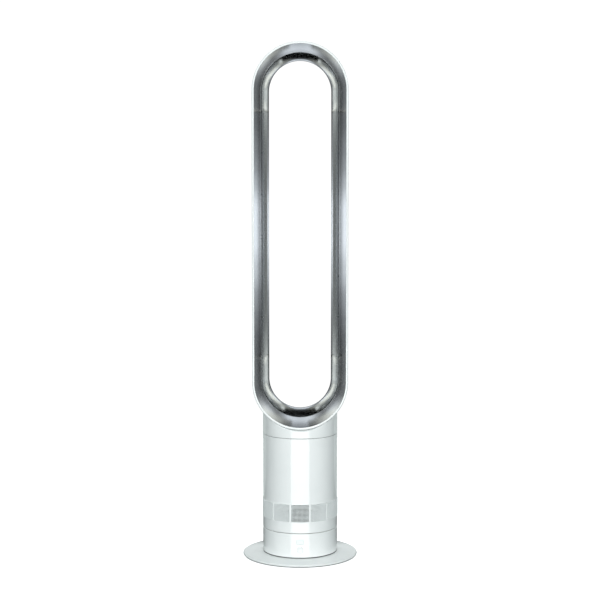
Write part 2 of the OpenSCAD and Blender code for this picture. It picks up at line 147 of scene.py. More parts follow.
white_abs = moulded_plastic("gloss_white_abs", "#e9eded", "#f1f4f4", 0.09, 6, 0.004, 0.8, 0.0006,
                            Coat_Weight=0.25, Coat_Roughness=0.05)
nylon_pa = moulded_plastic("moulded_nylon", "#dcd8cb", "#e8e4d8", 0.42, 5, 0.01, 0.5, 0.004)
dark_abs = moulded_plastic("satin_dark_abs", "#26282a", "#323436", 0.45, 4, 0.008, 0.35, 0.012)
grey_abs = moulded_plastic("satin_grey_abs", "#53575a", "#606468", 0.4, 4, 0.008, 0.35, 0.01)
button_abs = moulded_plastic("satin_white_abs", "#e4e8e8", "#eceff0", 0.22, 4, 0.003, 0.3, 0.002)
print("plastics made", [m.name for m in bpy.data.materials if m.name.endswith("_abs")])

# %% [markdown]
# ## Brushed plated silver
# The inside of the loop is a moulded liner, metal plated and then brushed along the loop. Each fine
# scratch is a tiny groove, so light spreads across the scratches and stays sharp along them: the
# reflection runs as long bands. Real scratches are a few hundredths of a millimetre wide and would not
# show, so they are drawn about 0.5 mm wide. The pattern reads the piece's own UV map, in metres along
# and across the loop, so the scratches bend round the two ends as they do under a brushing wheel.

# %% Brushed silver
def brushed_silver(name, colour, rough, spread):
    material, tree, shader, place = start_material(
        name, Metallic=1.0, Roughness=rough, Anisotropic=spread, Anisotropic_Rotation=0.25)
    scratch_long, scratch_wide, worn = 90 * MM, 0.5 * MM, 0.88
    track = add_node(tree, "ShaderNodeUVMap", uv_map="UVMap")
    stretched = add_node(tree, "ShaderNodeMapping",
                         {"Vector": track, "Scale": (1 / scratch_long, 1 / scratch_wide, 1)})
    scratch = add_node(tree, "ShaderNodeTexNoise",
                       {"Vector": stretched, "Scale": 1, "Detail": 3, "Roughness": 0.6})
    shade = add_node(tree, "ShaderNodeMapRange", {"Value": scratch, "From Min": 0.25, "From Max": 0.75})
    two_tones(tree, shader, shade, [worn * part for part in srgb(colour)[:3]] + [1], srgb(colour))
    dull = add_node(tree, "ShaderNodeMapRange",
                    {"Value": scratch, "To Min": rough - 0.05, "To Max": rough + 0.05})
    relief = add_node(tree, "ShaderNodeBump", {"Height": scratch, "Distance": 0.004 * MM})
    along = add_node(tree, "ShaderNodeTangent", direction_type="UV_MAP", uv_map="UVMap")
    fill(tree, shader, {"Roughness": dull, "Normal": relief, "Tangent": along})
    return material


silver = brushed_silver("brushed_plated_silver", "#d3d6d8", 0.17, 0.7)
print("brushed metal made", silver.name)

# %% [markdown]
# ## The quieter materials
# Rubber, zinc plated steel, brass, enamelled copper, ferrite, circuit board and open-cell foam fill the
# inside and the underside. Each one starts from its usual IOR or metal colour and has one pattern at its
# real scale: talc bloom on rubber, spangle on zinc, strands on the winding, cells in the foam.

# %% Other finishes
def patterned(name, low, high, texture, scale_mm, depth_mm, **sockets):
    kind, output = texture
    material, tree, shader, place = start_material(name, **sockets)
    pattern = add_node(tree, kind, {"Vector": place, "Scale": 1 / (scale_mm * MM)}).outputs[output]
    two_tones(tree, shader, pattern, srgb(low), srgb(high))
    relief = add_node(tree, "ShaderNodeBump", {"Height": pattern, "Distance": depth_mm * MM})
    fill(tree, shader, {"Normal": relief})
    return material


noise, waves = ("ShaderNodeTexNoise", "Fac"), ("ShaderNodeTexWave", "Fac")
cells = ("ShaderNodeTexVoronoi", "Distance")
rubber = patterned("moulded_rubber", "#191a1b", "#2a2b2c", noise, 0.6, 0.02, Roughness=0.68, IOR=1.52)
sheet_paint = patterned("painted_perforated_sheet", "#dfe5e5", "#e9eded", noise, 0.5, 0.004,
                        Roughness=0.34, IOR=1.5)
zinc_steel = patterned("zinc_plated_steel", "#9fa3a6", "#b4b7b9", cells, 1.5, 0.004,
                       Metallic=1.0, Roughness=0.32)
brass = patterned("turned_brass", "#b48f45", "#cba65a", noise, 0.4, 0.003, Metallic=1.0, Roughness=0.28)
copper = patterned("enamelled_copper", "#8f4a26", "#c07a48", waves, 0.9, 0.12, Metallic=1.0, Roughness=0.3)
ferrite = patterned("sintered_ferrite", "#2b2a2c", "#3a393b", noise, 0.3, 0.01, Roughness=0.55, IOR=1.5)
board_green = patterned("solder_mask_board", "#12492f", "#1d6242", cells, 3.0, 0.03,
                        Roughness=0.3, IOR=1.5)
foam = patterned("open_cell_foam", "#2f3133", "#5a5d60", cells, 1.2, 0.5, Roughness=0.95, IOR=1.3)
print("finishes made", len(bpy.data.materials))

# %% [markdown]
# ## Dress the parts that stay as they are
# The working parts inside the casings keep the frame's own shape, because it is already right. They only
# need the correct finish, which goes straight into each part's material slot.

# %% Finish of every inner part
finishes = {
    nylon_pa: "base_deck glide_ring pivot_bush button_guide drive_pinion turntable swing_gear "
              "coupling_ring loop_duct",
    dark_abs: "base_cover tact_switch led_display ir_receiver impeller board_parts",
    grey_abs: "duct_housing flow_vanes motor_bucket bucket_cap",
    zinc_steel: "ballast_plate deck_screws gear_screws retaining_clip swing_motor lower_bearing "
                "upper_bearing motor_shaft shaft_nut duct_screws",
    rubber: "isolation_ring neck_seal",
    foam: "lower_silencer upper_silencer",
    copper: "motor_stator",
    ferrite: "magnet_rotor",
    board_green: "main_board control_board",
    brass: "board_standoffs",
    silver: "slot_spacers",
}
for finish, names in finishes.items():
    for name in names.split():
        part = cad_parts[name]
        part.data.materials.clear()
        part.data.materials.append(finish)
print("inner parts dressed", sum(len(names.split()) for names in finishes.values()))

# %% [markdown]
# ## Ways to make a round piece
# Most casings are turned shapes: one outline spun round an axis. Their corners are never razor sharp, so
# an outline is given as corners with a radius each, the corners are rounded, and the result is spun. A
# finished mesh is checked for which way it faces, smoothed, and its true edges are marked sharp.

# %% Outline helpers
def rounded_outline(corners, steps=4):
    """Corners are (x, y, radius); the result is the outline with each corner rounded."""
    points = []
    for i, (x, y, r) in enumerate(corners):
        here = Vector((x, y))
        before = Vector(corners[i - 1][:2]) - here
        after = Vector(corners[(i + 1) % len(corners)][:2]) - here
        if r <= 0:
            points.append(here)
            continue
        half = before.angle(after) / 2
        reach = min(r / math.tan(half), 0.49 * before.length, 0.49 * after.length)
        r = reach * math.tan(half)
        centre = here + (before.normalized() + after.normalized()).normalized() * (r / math.sin(half))
        start = here + before.normalized() * reach - centre
        end = here + after.normalized() * reach - centre
        turn = start.angle_signed(end)
        for k in range(steps + 1):
            arm = start.copy()
            arm.rotate(Matrix.Rotation(-turn * k / steps, 2))
            points.append(centre + arm)
    return [(p.x, p.y) for p in points]


def guarded(outline, margin=0.4):
    """Adds a point near both ends of every long straight, so that its shading stays flat."""
    points = []
    for i, here in enumerate(outline):
        here, there = Vector(here), Vector(outline[(i + 1) % len(outline)])
        points.append(here)
        if (there - here).length > 8 * margin:
            step = (there - here).normalized() * margin
            points += [here + step, there - step]
    return [(p.x, p.y) for p in points]


rounded_square = rounded_outline([(0, 0, 1), (9, 0, 1), (9, 9, 1), (0, 9, 1)])
print("points of a rounded square", len(rounded_square), "and guarded", len(guarded(rounded_square)))

# %% Lathe and finishing helpers
def bridge_rings(bm, rings, caps=True):
    """Joins each ring of corners to the next with a band of faces, and closes the two ends."""
    for here, there in zip(rings, rings[1:]):
        for i in range(len(here)):
            j = (i + 1) % len(here)
            bm.faces.new((here[i], here[j], there[j], there[i]))
    if caps:
        bm.faces.new(rings[0])
        bm.faces.new(rings[-1])


def spin(bm, outline, steps=192):
    """Turns an outline of (radius, height) points once round the upright axis."""
    turns = [2 * math.pi * k / steps for k in range(steps)]
    rings = [[bm.verts.new((r * MM * math.cos(a), r * MM * math.sin(a), z * MM)) for r, z in guarded(outline)]
             for a in turns]
    bridge_rings(bm, rings + rings[:1], caps=False)


def smooth_edges(mesh, angle=32):
    mesh.polygons.foreach_set("use_smooth", [True] * len(mesh.polygons))
    mesh.set_sharp_from_angle(angle=math.radians(angle))


def finished_mesh(bm, angle=32):
    bmesh.ops.remove_doubles(bm, verts=bm.verts, dist=1e-6)
    bmesh.ops.recalc_face_normals(bm, faces=bm.faces)
    mesh = bpy.data.meshes.new("mesh")
    bm.to_mesh(mesh)
    bm.free()
    smooth_edges(mesh, angle)
    return mesh


def evaluated_mesh(obj):
    graph = bpy.context.evaluated_depsgraph_get()
    return bpy.data.meshes.new_from_object(obj.evaluated_get(graph), preserve_all_data_layers=True,
                                           depsgraph=graph)


def in_scene(name, mesh):
    obj = bpy.data.objects.new(name, mesh)
    bpy.context.scene.collection.objects.link(obj)
    return obj


def place_piece(name, mesh, material, body, slot, *stands_for):
    """Names a finished mesh, gives it its finish, and sets it on its body in place of the frame's part."""
    mesh.name = name
    mesh.materials.clear()
    mesh.materials.append(material)
    piece = in_scene(name, mesh)
    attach(piece, body)
    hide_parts(*stands_for)
    triangles = sum(len(p.vertices) - 2 for p in mesh.polygons)
    heights = [round(f(v.co.z for v in mesh.vertices) / MM, 1) for f in (min, max)]
    print(name, "triangles", triangles, "z mm", heights)
    return piece


print("helpers ready for", len(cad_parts), "parts")

# %% [markdown]
# ## Body tube and skirt
# The body above the inlet band is one plain white tube, and below the band is a short skirt that turns
# just above the drum. A cylinder would do for the wall, but the moulding's edges are rounded by about
# 0.6 mm, and those edges are what draws each seam as a soft dark line with a glint beside it. So both are
# spun from a rounded outline.

# %% Tube and skirt
def casing(low, high, edge_low, edge_high):
    inner_edge = 0.3
    bm = bmesh.new()
    spin(bm, rounded_outline([(bore_r, low, inner_edge), (body_r, low, edge_low), (body_r, high, edge_high),
                              (bore_r, high, inner_edge)]))
    return finished_mesh(bm)


place_piece("body_tube_casing", casing(tube_low[2], tube_high[2], 0.3, 0.6), white_abs,
            "upper_body", "white_casing", "body_tube")
place_piece("body_skirt_casing", casing(skirt_low[2], skirt_high[2], 1.1, 0.3), white_abs,
            "upper_body", "white_casing", "body_skirt")

# %% [markdown]
# ## Base plate and foot
# The fan stands on a thin round plate. Its top rises slightly from the rim to the drum, its rim is a full
# half round that catches a bright line, and below it a rubber ring is pressed into a groove. The ring has
# three treads and a thin dark lip that reaches out to just under the rim. The lip is a painted shadow: a
# dark band that stands in for the shadow line under the plate's edge. A second rubber ring, a gasket, lies
# under the drum. All are turned shapes, spun from outlines that follow the frame's own heights.

# %% Base plate
rim_t, foot_gap, plate_top = 4.5, plate_low[2], plate_high[2]
edge, drum_edge = rim_t / 2, body_r - 0.5
hub_r, cover_r, foot_in, foot_out, foot_top, recess_top = 64, 88.0, 95.0, 105.0, 2.2, 5.4
slope_r, slope_h = plate_r - edge - drum_edge, plate_top - foot_gap - rim_t
plate_outline = [(hub_r, plate_top, 0), (drum_edge, plate_top, 0)]
plate_outline += [(drum_edge + slope_r * s, plate_top - slope_h * s**1.15, 0)
                  for s in (0.1, 0.3, 0.5, 0.7, 0.9)]
for a in range(0, 181, 12):
    lean = math.radians(a)
    plate_outline.append((plate_r - edge + edge * math.sin(lean), foot_gap + edge + edge * math.cos(lean), 0))
plate_outline += [(foot_out, foot_gap, 0.2), (foot_out, foot_top, 0), (foot_in, foot_top, 0),
                  (foot_in, foot_gap, 0.2), (cover_r, foot_gap, 0.2), (cover_r, recess_top, 0),
                  (hub_r, recess_top, 0)]
bm = bmesh.new()
spin(bm, rounded_outline(plate_outline), 256)
place_piece("base_plate_disc", finished_mesh(bm), white_abs, "base", "white_casing", "base_plate")

# %% Foot ring
def square_ring(bm, inner, outer, low, high, edge_r):
    corners = [(inner, low, 0), (outer, low, edge_r), (outer, high, edge_r), (inner, high, 0)]
    spin(bm, rounded_outline(corners, 2), 160)


tread_h, painted_shadow_lip_r = 0.4, 110.8
foot_outline = [(foot_in, 0, 0.5)]
for first, last in ((97, 98.8), (101.2, 103)):
    foot_outline += [(first, 0, 0.3), (first + tread_h, tread_h, 0.2), (last - tread_h, tread_h, 0.2),
                     (last, 0, 0.3)]
foot_outline += [(foot_out, 0, 0.5), (foot_out, foot_top, 0), (foot_in, foot_top, 0)]
bm = bmesh.new()
spin(bm, rounded_outline(foot_outline), 160)
# Painted shadow: a dark rubber band reaching out under the rim, to draw the shadow line beneath the plate's
# edge.
square_ring(bm, foot_out + 0.1, painted_shadow_lip_r, 0.2, 1.1, 0.2)
square_ring(bm, body_r - 1.9, body_r - 0.3, plate_top + 0.02, plate_top + 0.85, 0.15)
place_piece("foot_ring_and_shadow_lip", finished_mesh(bm), rubber, "base", "rubber", "foot_ring")

# %% [markdown]
# ## Drum
# The drum on the plate holds the electronics. It is a turned shell with three openings: the round hole of
# the power button, the rounded window of the display and, at the back, the hole of the cord inlet. The
# shell is spun, and a Boolean modifier cuts each hole with a solid of the hole's own outline.

# %% Hole tools
def rounded_rectangle(w, h, r, steps=5):
    corners = ((-1, -1), (1, -1), (1, 1), (-1, 1))
    return rounded_outline([(x * w / 2, y * h / 2, r) for x, y in corners], steps)


def circle(r, steps=40):
    turns = [2 * math.pi * k / steps for k in range(steps)]
    return [(r * math.cos(a), r * math.sin(a)) for a in turns]


def bar(bm, outline, front, back, z):
    """A straight bar of the given outline, from front to back at height z."""
    bridge_rings(bm, [[bm.verts.new((x * MM, y * MM, (z + h) * MM)) for x, h in outline]
                      for y in (front, back)])


def cut(mesh, bars):
    blank = in_scene("blank", mesh)
    tools = []
    for outline, front, back, z in bars:
        bm = bmesh.new()
        bar(bm, outline, front, back, z)
        tools.append(in_scene("tool", finished_mesh(bm)))
        hole = blank.modifiers.new("hole", "BOOLEAN")
        hole.operation, hole.object, hole.solver = "DIFFERENCE", tools[-1], "EXACT"
    result = evaluated_mesh(blank)
    for obj in [blank] + tools:
        bpy.data.objects.remove(obj)
    smooth_edges(result)
    return result


button_z, window_z, inlet_z = 24.7, 40.4, 20.0
button_r, window_w, window_h, window_corner = 6.0, 14.0, 9.6, 2.0
print("openings at heights", button_z, window_z, inlet_z)

# %% Drum with its openings
groove, groove_h, front, past = 2.0, 1.6, -body_r - 2, 4
drum_foot = drum_low[2]
bm = bmesh.new()
spin(bm, rounded_outline([(bore_r, drum_foot, 0), (body_r - groove, drum_foot, 0),
                          (body_r - groove, drum_foot + groove_h, 0.2), (body_r, drum_foot + groove_h, 0.4),
                          (body_r, drum_high[2], 1.1), (bore_r, drum_high[2], 0.3)]))
drum_mesh = cut(finished_mesh(bm), [(circle(button_r + 0.3), front, past - bore_r, button_z),
                                    (rounded_rectangle(window_w, window_h, window_corner), front,
                                     past - bore_r, window_z),
                                    (circle(6), bore_r - past, body_r + 2, inlet_z)])
place_piece("drum_casing", drum_mesh, white_abs, "base", "white_casing", "base_drum")

# %% [markdown]
# ## Small parts on the drum
# The button and the display window are trimmed to the drum's own curve, so they lie flush in it and only
# a fine shadow line shows. Each is drawn as a flat outline, spread into a fine grid and then pressed onto
# the cylinder, as a shaped cap would be. The button's face has a shallow dish for the fingertip.

# %% Pressed cap
def pressed_cap(outline, z, depth, edge_r, dish=0.0, rings=8):
    """A cap on the drum's front: its rings shrink towards the middle and round over at the edge."""
    bm = bmesh.new()
    reach = max(math.hypot(x, h) for x, h in outline)
    levels = [(1.0, depth)]
    for a in (0, 22, 45, 67, 90):
        lean = math.radians(a)
        levels.append((1 - edge_r / reach * (1 - math.cos(lean)), edge_r * (1 - math.sin(lean))))
    levels += [(levels[-1][0] * (1 - k / rings), 0) for k in range(1, rings)]
    loops = []
    for scale, back in levels:
        loop = []
        for x, h in outline:
            px, ph = x * scale, h * scale
            sink = dish * max(0.0, 1 - (math.hypot(px, ph) / (0.8 * reach)) ** 2)
            surface = -math.sqrt(body_r**2 - px * px)
            loop.append(bm.verts.new((px * MM, (surface + back + sink) * MM, (z + ph) * MM)))
        loops.append(loop)
    bridge_rings(bm, loops)
    return bm


print("caps follow a drum of radius", body_r)

# %% Button and window
bm = pressed_cap(circle(button_r, 64), button_z, 3.2, 0.5, dish=0.25)
flange_r, stem_r, flange_front, flange_back, stem_back = 7.5, 3.0, -70.1, -68.9, -62.5
bar(bm, circle(flange_r, 32), flange_front, flange_back, button_z)
bar(bm, circle(stem_r, 32), flange_back, stem_back, button_z)
place_piece("power_button_cap", finished_mesh(bm), button_abs, "power_button", "white_casing", "power_button")

window_pc, tree, shader, place = start_material("tinted_window_polycarbonate", Roughness=0.06, IOR=1.586)
haze = add_node(tree, "ShaderNodeTexNoise", {"Vector": place, "Scale": 1 / (3 * MM), "Detail": 2})
two_tones(tree, shader, haze, srgb("#dde6e6"), srgb("#e6eeee"))
fit_gap = 0.3
window_outline = rounded_rectangle(window_w - fit_gap, window_h - fit_gap, window_corner, 8)
bm = pressed_cap(window_outline, window_z, 2.0, 0.2)
place_piece("display_window_cap", finished_mesh(bm), window_pc, "base", "white_casing", "display_window")

# %% [markdown]
# ## Cord inlet
# The mains lead enters through a soft rubber grommet low on the back of the drum. It is kept plain: a
# turned grommet with a rounded flange. It is spun round an upright axis, laid down to point backwards,
# and the back of its flange is pulled onto the drum's curve.

# %% Grommet
lead_r, throat_out, flange_out, flange_proud, grommet_in = 3.6, 5.9, 8.0, 1.6, bore_r - 3.9
bm = bmesh.new()
spin(bm, rounded_outline([(lead_r, grommet_in, 0.6), (throat_out, grommet_in, 0.4),
                          (throat_out, body_r - 1.0, 0), (flange_out, body_r - 1.0, 0),
                          (flange_out, body_r + flange_proud, 0.8),
                          (lead_r, body_r + flange_proud, 1.0)], 5), 64)
for v in bm.verts:
    x, h, y = v.co
    v.co = (x, y, inlet_z * MM + h)
    if math.hypot(x, h) > (throat_out + 0.3) * MM and y < (body_r - 0.5) * MM:
        v.co.y = math.sqrt((body_r * MM) ** 2 - x * x)
place_piece("cord_grommet", finished_mesh(bm), rubber, "base", "rubber", "cord_inlet")

# %% [markdown]
# ## A rule that sweeps a profile round the loop
# All four parts of the loop are one profile carried round the same oblong path: two half circles joined
# by straight sides. That is a rule, so Geometry Nodes makes it. A circle is stood upright, each of its
# points keeps its own outward direction as the curve's normal, and then the upper half is lifted and the
# lower half dropped, which stretches the circle into the oblong. Curve to Mesh carries the profile along
# it. The length along the path and along the profile become the UV map that the brushing follows.

# %% Rule helpers
def new_tree(name, sizes):
    tree = bpy.data.node_groups.new(name, "GeometryNodeTree")
    for label, kind in [("Geometry", "Geometry")] + list(sizes.items()):
        tree.interface.new_socket(name=label, in_out="INPUT", socket_type="NodeSocket" + kind)
    tree.interface.new_socket(name="Geometry", in_out="OUTPUT", socket_type="NodeSocketGeometry")
    return tree, tree.nodes.new("NodeGroupInput").outputs


def end_tree(tree, shape, finish):
    """Every rule ends the same way: real geometry that carries its finish."""
    real = add_node(tree, "GeometryNodeRealizeInstances", {"Geometry": shape})
    coloured = add_node(tree, "GeometryNodeSetMaterial", {"Geometry": real, "Material": finish})
    add_node(tree, "NodeGroupOutput", {"Geometry": coloured})
    print(tree.name, "nodes", len(tree.nodes))


def grow(tree, start, values):
    """Runs a rule on a start mesh and returns the result as a plain mesh."""
    maker = in_scene("maker", start)
    rule = maker.modifiers.new("rule", "NODES")
    rule.node_group = tree
    for item in tree.interface.items_tree:
        if item.in_out == "INPUT" and item.name in values:
            rule[item.identifier] = values[item.name]
    mesh = evaluated_mesh(maker)
    maker.modifiers.remove(rule)
    bpy.data.objects.remove(maker)
    return mesh


print("shape rules so far", len(bpy.data.node_groups))

# %% Sweep rule: the oblong path
sweep, given = new_tree("sweep_round_the_loop", {"Path Radius": "Float", "Half Straight": "Float",
                                                 "Centre Height": "Float", "Arc Points": "Int",
                                                 "Finish": "Material"})
ring = add_node(sweep, "GeometryNodeCurvePrimitiveCircle",
                {"Resolution": given["Arc Points"], "Radius": given["Path Radius"]})
turn = add_node(sweep, "ShaderNodeMath", {0: 2 * math.pi, 1: given["Arc Points"]}, operation="DIVIDE")
half_turn = add_node(sweep, "ShaderNodeMath", {0: turn, 1: 0.5}, operation="MULTIPLY")
start_turn = add_node(sweep, "ShaderNodeMath", {0: half_turn, 1: math.pi / 2}, operation="SUBTRACT")
spun = add_node(sweep, "ShaderNodeCombineXYZ", {"Z": start_turn})
turned = add_node(sweep, "GeometryNodeTransform", {"Geometry": ring, "Rotation": spun})
upright = add_node(sweep, "GeometryNodeTransform", {"Geometry": turned, "Rotation": (math.pi / 2, 0, 0)})
spot = add_node(sweep, "GeometryNodeInputPosition")
outward = add_node(sweep, "ShaderNodeVectorMath", {0: spot}, operation="NORMALIZE")
framed = add_node(sweep, "GeometryNodeSetCurveNormal", {"Curve": upright, "Normal": outward}, mode="FREE")
height = add_node(sweep, "ShaderNodeSeparateXYZ", {0: spot})
side = add_node(sweep, "ShaderNodeMath", {0: height.outputs["Z"]}, operation="SIGN")
lift = add_node(sweep, "ShaderNodeMath", {0: side, 1: given["Half Straight"], 2: given["Centre Height"]},
                operation="MULTIPLY_ADD")
shift = add_node(sweep, "ShaderNodeCombineXYZ", {"Z": lift})
oblong = add_node(sweep, "GeometryNodeSetPosition", {"Geometry": framed, "Offset": shift})
print("path rule nodes", len(sweep.nodes))

# %% Sweep rule: the skin
profile = add_node(sweep, "GeometryNodeMeshToCurve", {"Mesh": given["Geometry"]})
measured = []
for curve_node, label in ((oblong, "along"), (profile, "across")):
    travelled = add_node(sweep, "GeometryNodeSplineParameter").outputs["Length"]
    measured.append(add_node(sweep, "GeometryNodeStoreNamedAttribute",
                             {"Geometry": curve_node, "Name": label, "Value": travelled},
                             data_type="FLOAT", domain="POINT"))
skin = add_node(sweep, "GeometryNodeCurveToMesh",
                {"Curve": measured[0], "Profile Curve": measured[1], "Fill Caps": False})
end_tree(sweep, skin, given["Finish"])

# %% [markdown]
# The swept skin closes on itself, so its UV map has to be unwrapped across the two places where a length
# jumps back to zero. Each face there gets the full length added to its low side. The same helper makes
# sure that the skin faces outwards.

# %% Loop helper
path_r, seam_step = 75.0, 0.003


def lay_uv(bm):
    """Turns the lengths into the UV map; where one starts again, its low side gets a full turn."""
    uv_map = bm.loops.layers.uv.new("UVMap")
    for axis, key in enumerate(("along", "across")):
        length = bm.verts.layers.float[key]
        total = max(v[length] for v in bm.verts)
        for face in bm.faces:
            values = [corner.vert[length] for corner in face.loops]
            jump = max(values) - min(values) > total / 2
            for corner, value in zip(face.loops, values):
                corner[uv_map].uv[axis] = value + (total + seam_step if jump and value < total / 2 else 0)


def loop_mesh(outline, material, arc_points=160, angle=24):
    start = bpy.data.meshes.new("profile")
    points = [((u - path_r) * MM, y * MM, 0) for u, y in outline]
    start.from_pydata(points, [(i, (i + 1) % len(points)) for i in range(len(points))], [])
    mesh = grow(sweep, start, {"Path Radius": path_r * MM, "Half Straight": (arc_high_z - arc_low_z) / 2 * MM,
                               "Arc Points": arc_points, "Centre Height": (arc_low_z + arc_high_z) / 2 * MM,
                               "Finish": material})
    bm = bmesh.new()
    bm.from_mesh(mesh)
    if bm.calc_volume(signed=True) < 0:
        bmesh.ops.reverse_faces(bm, faces=bm.faces)
    lay_uv(bm)
    bm.to_mesh(mesh)
    bm.free()
    smooth_edges(mesh, angle)
    return mesh


print("loop path radius", path_r, "straight sides", round(arc_high_z - arc_low_z, 1))

# %% Profile helpers
def curve(centre, r, first, last, steps):
    cx, cy = centre
    angles = [math.radians(first + (last - first) * k / steps) for k in range(steps + 1)]
    return [(cx + r * math.cos(a), cy + r * math.sin(a)) for a in angles]


def walled(face, t, first_t, last_t):
    """Closed outline of a wall that follows a face and lies to its left, or right if t is negative."""
    back = []
    for i in reversed(range(len(face))):
        a, b = Vector(face[max(i - 1, 0)]), Vector(face[min(i + 1, len(face) - 1)])
        d = (b - a).normalized()
        depth = first_t if i == 0 else last_t if i == len(face) - 1 else t
        back.append((face[i][0] - d.y * depth, face[i][1] + d.x * depth))
    return face + back


rim_w, lip_r, taper = 4.3, 2.4, 6.5
lip_y = rim_y + lip_r
shell_face = [(loop_r - rim_w, rim_y + 0.25), (loop_r - rim_w + 0.25, rim_y)]
shell_face += curve((loop_r - lip_r, lip_y), lip_r, -90, 0, 8)
shell_face += [(loop_r - taper * (k / 16) ** 1.6, lip_y + (shell_back - lip_y) * k / 16)
               for k in range(1, 17)]
print("outer shell from", rim_y, "to", shell_back, "width", 2 * loop_r)

# %% [markdown]
# ## White shell and rear cover
# The white outside of the loop is two mouldings: a long shell that runs from the rounded front rim and
# tapers a little towards the back, and a rear cover that closes it with a generous round. The fine joint
# between them is the only line seen from behind.

# %% Shell and cover
shell_t, cover_t, round_r, inner_round, cover_tip = 2.1, 1.8, 12, 2, 68.5
place_piece("loop_white_shell", loop_mesh(walled(shell_face, shell_t, 0.5, shell_t), white_abs),
            white_abs, "upper_body", "white_casing", "loop_outer_shell")
cover_face = curve((loop_r - taper - round_r - 0.2, cover_back - round_r), round_r, -7, 90, 14)
cover_face += curve((cover_tip + inner_round, cover_back - inner_round), inner_round, 90, 180, 6)
cover_face += [(cover_tip, cover_back - 6)]
place_piece("loop_back_cover", loop_mesh(walled(cover_face, cover_t, cover_t, cover_t), white_abs),
            white_abs, "upper_body", "white_casing", "loop_rear_cover")

# %% [markdown]
# ## Silver liner
# Seen from the front the silver is two bands. The wide flared one runs from the rim back to the lip of the
# air slot, and the inner one starts in the slot, narrows to a throat and opens again towards the back.
# Air leaves between them, through a gap of 0.8 mm. Each is swept from its own face, with the wall behind it.

# %% Flared liner
liner_r, slot_r, slot_y, bulge, liner_t = loop_r - rim_w - 0.1, 75.0, -10.0, 0.8, 1.6
liner_face = []
for k in range(25):
    s = k / 24
    liner_face.append((liner_r - (liner_r - slot_r) * s - bulge * math.sin(math.pi * s),
                       liner_front + (slot_y - liner_front) * s))
liner_face += [(slot_r + out, slot_y + back)
               for out, back in ((0.05, 0.6), (0.2, 1.6), (0.2, 10), (1.4, 13), (3.6, 15))]
place_piece("loop_flared_liner", loop_mesh(walled(liner_face, -liner_t, -0.7, -liner_t), silver),
            silver, "upper_body", "silver_liner", "loop_diffuser")

# %% Throat wall
throat_r, throat_y, slot_gap, opening = 61.1, 18.0, 0.8, 5.4
inner_face = [(throat_r + (slot_r - slot_gap - throat_r) * (1 - k / 20) ** 1.6,
               slot_y + (throat_y - slot_y) * k / 20) for k in range(21)]
inner_face += [(throat_r + opening * (k / 12) ** 1.8, throat_y + (wall_back - throat_y) * k / 12)
               for k in range(1, 13)]
place_piece("loop_throat_wall", loop_mesh(walled(inner_face, -liner_t, -0.3, -liner_t), silver),
            silver, "upper_body", "silver_liner", "loop_inner_wall")

# %% [markdown]
# ## Neck
# The neck joins the round body to the loop. Below it is a plain tube, and above it is scooped out so that
# the loop lies in it as in a saddle. The saddle's height at any point follows from the loop's own outer
# radius at that depth, so the surface is written as a rule of x and y. The wall and the saddle are two
# grids that share one edge. A Bevel modifier rounds that edge, and Solidify gives the wall its thickness.

# %% Neck surface
def saddle(x, y):
    s = min(1.0, max(0.0, (y - lip_y) / (shell_back - lip_y)))
    r = loop_r - taper * s**1.6 + 0.3
    return arc_low_z - math.sqrt(r * r - x * x)


duct_r, duct_y, around_neck, rows, rings = 36.3, -6.0, 192, 10, 14
bm = bmesh.new()
turns = [2 * math.pi * k / around_neck for k in range(around_neck)]
grid = []
for row in range(rows + 1):
    spots = [(body_r * math.cos(a), body_r * math.sin(a)) for a in turns]
    grid.append([bm.verts.new((x * MM, y * MM, (neck_foot + (saddle(x, y) - neck_foot) * row / rows) * MM))
                 for x, y in spots])
for ring_i in range(1, rings + 1):
    s = ring_i / rings
    spots = [((body_r * (1 - s) + duct_r * s) * math.cos(a),
              body_r * (1 - s) * math.sin(a) + (duct_y + duct_r * math.sin(a)) * s) for a in turns]
    grid.append([bm.verts.new((x * MM, y * MM, saddle(x, y) * MM)) for x, y in spots])
bridge_rings(bm, grid, caps=False)
shape = in_scene("neck_blank", finished_mesh(bm))
print("neck blank corners", len(shape.data.vertices))

# %% Neck wall and edges
def bevel(shape, width, segments, angle):
    rounding = shape.modifiers.new("rounding", "BEVEL")
    rounding.width, rounding.segments = width * MM, segments
    rounding.limit_method, rounding.angle_limit = "ANGLE", math.radians(angle)


def thicken(shape, thickness):
    wall = shape.modifiers.new("wall", "SOLIDIFY")
    wall.thickness, wall.offset = thickness * MM, -1


bevel(shape, 0.9, 3, 38)
thicken(shape, wall_t)
bevel(shape, 0.5, 2, 70)
neck_mesh = evaluated_mesh(shape)
bpy.data.objects.remove(shape)
smooth_edges(neck_mesh, 35)
place_piece("neck_casing", neck_mesh, white_abs, "upper_body", "white_casing", "loop_neck")

# %% [markdown]
# ## Inlet band: frame
# The band that lets the air in is a white frame of two thin hoops and twelve upright ribs, standing
# 1.4 mm proud of the body. One rib repeated round a circle is a job for Geometry Nodes: the rule
# instances the rib on points at the axis, each turned to face outwards, and the two hoops are spun.

# %% Rib rule
repeat, given = new_tree("repeat_round_the_axis", {"Count": "Int", "Start Angle": "Float",
                                                   "Finish": "Material"})
copies = add_node(repeat, "GeometryNodePoints", {"Count": given["Count"]})
number = add_node(repeat, "GeometryNodeInputIndex")
step = add_node(repeat, "ShaderNodeMath", {0: 2 * math.pi, 1: given["Count"]}, operation="DIVIDE")
angle = add_node(repeat, "ShaderNodeMath", {0: number, 1: step, 2: given["Start Angle"]},
                 operation="MULTIPLY_ADD")
facing = add_node(repeat, "ShaderNodeCombineXYZ", {"Z": angle})
placed = add_node(repeat, "GeometryNodeInstanceOnPoints",
                  {"Points": copies, "Instance": given["Geometry"], "Rotation": facing})
end_tree(repeat, placed, given["Finish"])

# %% Band frame
panel_count, rib_angle, hoop = 12, 2.4, 0.6
band_out, band_in = body_r + 1.4, body_r - 1.2
band_foot, band_top = band_low[2], band_high[2]


